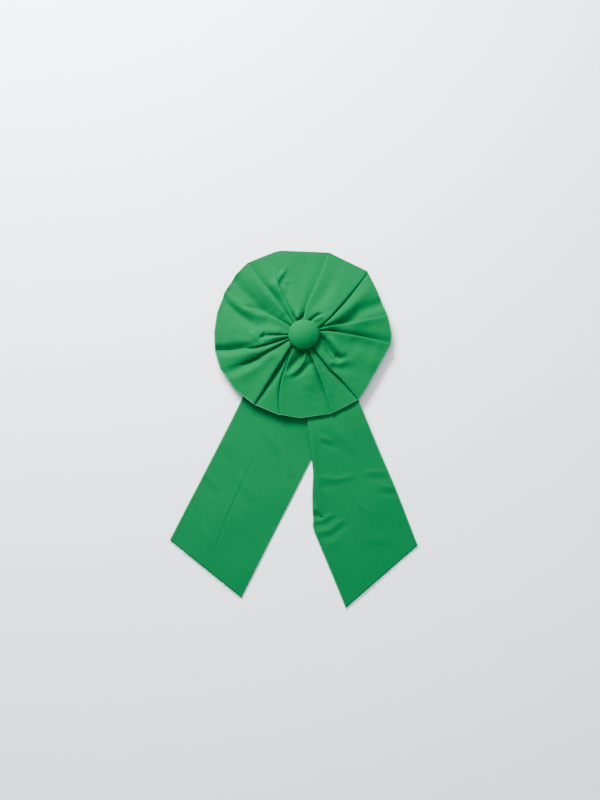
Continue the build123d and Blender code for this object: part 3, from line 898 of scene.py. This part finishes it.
FRAYS = 150  # loose ends along each cut edge
FRAY_RADIUS = 0.085


def fray(name, tail, body, columns):
    """Loose thread ends along a tail's cut edge, from the last two rows of its points."""
    points = np.empty(len(tail.data.vertices) * 3)
    tail.data.vertices.foreach_get("co", points)
    inner, edge = points.reshape(-1, columns, 3)[-2:] / MM
    paths = []
    for _ in range(FRAYS):
        place = random.uniform(0, columns - 1.001)
        i = int(place)
        t = place - i
        base = edge[i] * (1 - t) + edge[i + 1] * t
        out = base - (inner[i] * (1 - t) + inner[i + 1] * t)
        out /= np.linalg.norm(out)
        lean = edge[i + 1] - edge[i]
        lean /= np.linalg.norm(lean)
        reach = random.uniform(0.35, 1.1) if random.random() < 0.93 else random.uniform(1.2, 2.4)
        bend = random.normal(0, 0.35)
        lift = np.array([0, 0, random.uniform(0.0, 0.25)])
        paths.append([
            base - out * 0.5,
            base + out * reach * 0.35 + lean * bend * reach * 0.15,
            base + out * reach * 0.75 + lean * bend * reach * 0.5 + lift * reach * 0.5,
            base + out * reach + lean * bend * reach + lift * reach,
        ])
    tubes_object(name, paths, FRAY_RADIUS, fray_thread, body, sides=5)


fray("left_tail_fray", left_tail, "left_tail", LEFT_COLUMNS)
fray("right_tail_fray", right_tail, "right_tail", RIGHT_COLUMNS)


# ---- the button

BUTTON_DOME = 16.0  # the dome's radius of curvature
BUTTON_SHOULDER = 2.4  # how far the rounded shoulder reaches in from the rim


def cover_profile():
    """(radius, height) points, out over the dome, round the lower edge, and up inside as a hem."""
    base, top = cover_low[2], cover_high[2]
    dome = np.linspace(0, 9.4, 22)[1:]
    profile = [(r, top - BUTTON_DOME + math.sqrt(BUTTON_DOME ** 2 - r ** 2)) for r in dome]
    edge = profile[-1][1]
    for t in np.linspace(0, 1, 9)[1:]:
        inset = BUTTON_SHOULDER * (1 - math.sin(math.radians(36 + t * 54))) * 1.02
        profile.append((button_radius - inset, edge - (edge - base - 0.7) * t ** 1.3))
    hem = [(0.0, 0.35), (0.08, 0.12), (0.35, 0.02), (0.9, 0.05), (1.15, 0.25), (1.15, 0.75)]
    return profile + [(button_radius - inset, base + rise) for inset, rise in hem]


def build_button_cover():
    """The fabric pulled over the shell: a dome with faint gathers where it turns under."""
    base, top = cover_low[2], cover_high[2]
    profile = cover_profile()
    around = 144
    turn = np.linspace(0, 2 * math.pi, around, endpoint=False)
    points = []
    for r, z in profile:
        low = ease(z, top - 1.2, base) if z > base else 1.0
        pucker = low * (0.05 * np.sin(23 * turn + 1.3) + 0.04 * np.sin(37 * turn))
        wobble = 0.10 * low * np.sin(3 * turn + 0.6)
        radius = r + (pucker + wobble) * min(r / 6, 1) - 0.05 * low
        height = z + 0.3 * pucker * (1 - low)
        points.append(np.stack([radius * np.cos(turn), radius * np.sin(turn), height], axis=1))
    points = np.concatenate([*points, [[0.0, 0.0, top]]])
    faces = grid_faces(len(profile), around, closed=True)[:, ::-1].tolist()
    faces += [[len(points) - 1, i, (i + 1) % around] for i in range(around)]
    uv = np.concatenate([points[face][:, :2] for face in faces])
    piece = make_object("button_cover_cloth", points, faces, button_cloth, "button",
                        uv, RIBBON_THICKNESS, offset=-1.0)
    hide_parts("button_fabric_cover")


build_button_cover()


# ---- the back

DISC_HOLE = 0.4  # the radius of the hole that the button's thread goes through
PAD_HOLE = 4.0  # the radius of the hole for the knot
PAD_CORNER = 1.5
FACE_SPREAD = 0.985  # keeps the loops of the pad's faces inside its swollen edge


def build_disc():
    """The felt disc, its cut edge a little uneven and its faces faintly wavy."""
    turn = np.linspace(0, 2 * math.pi, 180, endpoint=False)
    radius = np.linspace(DISC_HOLE, disc_radius, 34)[:, None] + 0 * turn
    radius[-1] += 0.12 * ripple(turn * 12, turn * 0, 5, 9)
    x, y = radius * np.cos(turn), radius * np.sin(turn)
    height = (disc_low[2] + disc_high[2]) / 2 + 0.02 * ripple(x, y, 8, 15)
    points = np.stack([x, y, height], axis=2).reshape(-1, 3)
    faces = grid_faces(*radius.shape, closed=True)
    thickness = disc_high[2] - disc_low[2] - 0.06
    piece = make_object("backing_disc_felt", points, faces.tolist(), felt, "bow",
                        points[faces][:, :, :2], thickness)
    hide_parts("backing_disc")


def rounded_square(half, corner):
    """The outline of a square with rounded corners, anticlockwise, with points along its sides too."""
    arcs = []
    for k, quarter in enumerate(((1, 1), (-1, 1), (-1, -1), (1, -1))):
        turn = np.linspace(k, k + 1, 9) * math.pi / 2
        arc = corner * np.stack([np.cos(turn), np.sin(turn)], axis=1)
        arcs.append((half - corner) * np.array(quarter) + arc)
    outline = []
    for arc, following in zip(arcs, arcs[1:] + arcs[:1]):
        outline += [arc, np.linspace(arc[-1], following[0], 24)[1:-1]]
    return np.concatenate(outline)


def build_pad():
    """The foam pad: sides that swell a little between its two faces, and a hole for the knot."""
    low, high = pad_low[2], pad_high[2]
    half = pad_high[0]
    outline = rounded_square(half, PAD_CORNER)
    hole = outline * PAD_HOLE / np.hypot(outline[:, :1], outline[:, 1:])
    swells = [(0.0, -0.25), (0.08, -0.08), (0.3, 0.0), (0.5, 0.03), (0.7, 0.0), (0.92, -0.08), (1.0, -0.25)]
    loops = [(outline * (1 + swell / half), low + t * (high - low)) for t, swell in swells]
    inwards = (0.75, 0.5, 0.25, 0.0)
    for z, shares in ((high, inwards), (low, inwards[::-1])):
        loops += [(hole + (outline - hole) * t * FACE_SPREAD, z) for t in shares]
    points = np.concatenate([np.column_stack([loop, np.full(len(loop), z)]) for loop, z in loops])
    # The last loop is next to the first, so the faces run on to it.
    faces = grid_faces(len(loops) + 1, len(outline), closed=True) % len(points)
    piece = make_object("adhesive_pad_foam", points, faces.tolist(), foam, "bow")
    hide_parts("adhesive_pad")


build_disc()
build_pad()


# ---- the sewing threads

SEAM_FOLD = 8  # the fold at about 7 o'clock, which hides the seam
SEAM_INSET = 1.6  # from the fold's edge to the stitches
SEAM_STARTS = np.arange(13.0, 46.0, 4.0)  # each stitch's distance from the axis
# One stitch over the tails, from side to side: its share of the stitch's reach, and its rise.
TACK_ARCH = [(0.3, -0.35), (1.0, -0.05), (0.4, 0.12), (-0.4, 0.12), (-1.0, -0.05), (-0.3, -0.35)]
TACK_REACHES = [(-1.1, 0.0), (-0.8, 0.75), (0.0, 1.1), (0.8, 0.75)]


def rounded(corners):
    """A smooth path through the corners."""
    corners = np.asarray(corners, float)
    place = np.arange(len(corners))
    even = np.linspace(0, len(corners) - 1, 60)
    return np.stack([smooth_through(list(zip(place, corners[:, k])), even) for k in range(3)], axis=1)


def knot(x, y, z, size):
    """The two plies of a small overhand knot."""
    t = np.linspace(0, 2 * math.pi, 48)
    path = np.stack([
        x + size * 0.42 * (np.sin(t) + 2 * np.sin(2 * t)) / 1.6,
        y + size * 0.42 * (np.cos(t) - 2 * np.cos(2 * t)) / 1.6,
        z - size * 0.35 * np.sin(3 * t)], axis=1)
    return two_ply(path, 0.12, 0.9)


def build_gathering_thread():
    """It runs round inside the gathers, up and down with its stitches, and ends in a knot."""
    radius = (gather_high[0] - gather_low[0]) / 2 - 0.2
    turn = np.linspace(0.1, 2 * math.pi - 0.1, 90)
    height = gather_height + 0.15 * np.sin(9 * turn)
    path = np.stack([radius * np.cos(turn), radius * np.sin(turn), height], axis=1)
    strands = two_ply(path, 0.2, 1.3) + knot(0, -radius + 0.3, gather_height, 0.42)
    thread = tubes_object("gathering_thread_strands", strands, 0.11, sewing_thread, "bow")
    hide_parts("gathering_thread")


def build_tack_thread():
    """Four stitches crossed at the tack, each over the tails and under the disc."""
    low, high = cad("tail_tack_thread")
    strands = []
    for k, reach in enumerate(TACK_REACHES):
        top = high[2] - 0.25 - 0.05 * k
        bottom = low[2] + 0.25 + 0.05 * k
        middle = (top + bottom) / 2
        loop = [(-0.2, middle), *((s, top + rise) for s, rise in TACK_ARCH)]
        loop += [(0.0, middle - 0.3), *((s, bottom - rise) for s, rise in TACK_ARCH)]
        strands += two_ply(rounded([(*(tack + s * np.array(reach)), z) for s, z in loop]), 0.16, 0.9)
    thread = tubes_object("tail_tack_stitches", strands, 0.10, sewing_thread, "bow")
    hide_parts("tail_tack_thread")


def build_seam_thread():
    """The stitches that close the ribbon into a ring, under a fold."""
    over = panel_height(SEAM_FOLD - 1, fold_angle[SEAM_FOLD], ring)
    strands = []
    for start in SEAM_STARTS:
        distance = start + np.array([0.0, 0.5, 2.0, 2.6])
        angle = np.interp(distance, ring, fold_angle[SEAM_FOLD]) - np.degrees(SEAM_INSET / distance)
        height = np.interp(distance, ring, over) - LAYER_STEP * np.array([2.3, 3.0, 3.0, 2.3])
        x, y = distance * np.cos(np.radians(angle)), distance * np.sin(np.radians(angle))
        strands += two_ply(rounded(np.stack([x, y, height], axis=1)), 0.15, 0.8)
    thread = tubes_object("rosette_seam_stitches", strands, 0.10, sewing_thread, "bow")
    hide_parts("rosette_seam_thread")


def build_button_thread():
    """Three loops from the shank down through the disc, with a knot behind it."""
    low, high = cad("button_thread")
    leg = (high[1] - low[1]) / 2 - 0.4
    top, bottom = high[2] - 0.4, disc_low[2] - 0.6
    middle = (top + bottom) / 2
    strands = []
    for x in (-0.28, 0.0, 0.28):
        strands += two_ply(rounded([
            (x, -leg, bottom), (x, -leg, middle), (x * 0.6, -leg, top - 0.4),
            (x * 0.6, -leg * 0.6, top), (x * 0.6, leg * 0.6, top),
            (x * 0.6, leg, top - 0.4), (x, leg, middle), (x, leg, bottom), (x, 0.0, bottom - 0.05),
        ]), 0.16, 0.9)
    strands += knot(0, 0, bottom, 0.5)
    thread = tubes_object("button_thread_strands", strands, 0.10, sewing_thread, "bow")
    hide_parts("button_thread")


build_gathering_thread()
build_tack_thread()
build_seam_thread()
build_button_thread()


# ---- pieces that keep their CAD shape

def dress(node, material):
    """Gives a CAD node's own object a better material."""
    piece = frame["nodes"][node]
    piece.data.materials.clear()
    piece.data.materials.append(material)


dress("button_shell", shell_metal)
dress("button_back_plate", plate_metal)
dress("button_shank", shank_metal)
dress("release_liner", paper)


# ---- floor, light and camera

FLOOR_Z = -0.0001  # in metres, just under the bow
FLOOR_HALF = 2.4


def build_floor():
    """A plain pale sheet with a very faint grain."""
    corners = [(-1, -1), (1, -1), (1, 1), (-1, 1)]
    mesh = bpy.data.meshes.new("floor")
    mesh.from_pydata([(x * FLOOR_HALF, y * FLOOR_HALF, FLOOR_Z) for x, y in corners], [], [(0, 1, 2, 3)])
    floor = bpy.data.objects.new("floor", mesh)
    bpy.context.scene.collection.objects.link(floor)
    material, tree, shader = node_tree("floor_paper")
    grain = noise(tree, object_place(tree), 60.0, 4.0)
    base = mix_colour(tree, grain, (0.80, 0.81, 0.82), (0.77, 0.78, 0.80))
    tree.links.new(base, shader.inputs["Base Color"])
    set_inputs(shader, Roughness=0.9)
    mesh.materials.append(material)


def add_area_light(name, place, target, size, power, colour):
    """A rectangular light at a place, in metres, turned towards its target."""
    data = bpy.data.lights.new(name, "AREA")
    data.shape = "RECTANGLE"
    data.size, data.size_y = size
    data.energy = power
    data.color = colour
    lamp = bpy.data.objects.new(name, data)
    bpy.context.scene.collection.objects.link(lamp)
    lamp.location = place
    lamp.rotation_euler = (Vector(target) - Vector(place)).to_track_quat("-Z", "Y").to_euler()


def build_lights():
    """A window up and to the left, a wide soft light overhead, and a pale room."""
    add_area_light("window", (-0.23, 0.50, 0.42), (0, 0.0, 0), (0.40, 0.22), 26.0, (0.92, 0.98, 1.0))
    add_area_light("sky", (0.1, 0.25, 1.5), (0, -0.05, 0), (1.4, 1.2), 17.0, (0.95, 0.99, 1.0))
    world = bpy.data.worlds.new("room")
    world.use_nodes = True
    set_inputs(world.node_tree.nodes["Background"], Color=(0.88, 0.94, 1.0, 1.0), Strength=0.62)
    bpy.context.scene.world = world


def build_camera():
    """Looks down at 79 degrees from the tails' side, from about 1.24 m, with a short telephoto lens."""
    elevation = math.radians(79.2)
    distance = 1.241
    target = Vector((-0.0025, -0.0426, 0.0))
    data = bpy.data.cameras.new("camera")
    data.lens = 82.9
    data.sensor_width = 36.0
    data.clip_end = 10.0
    camera = bpy.data.objects.new("camera", data)
    bpy.context.scene.collection.objects.link(camera)
    camera.location = target + distance * Vector((0, -math.cos(elevation), math.sin(elevation)))
    camera.rotation_euler = (target - camera.location).to_track_quat("-Z", "Y").to_euler()
    bpy.context.scene.camera = camera


build_floor()
build_lights()
build_camera()
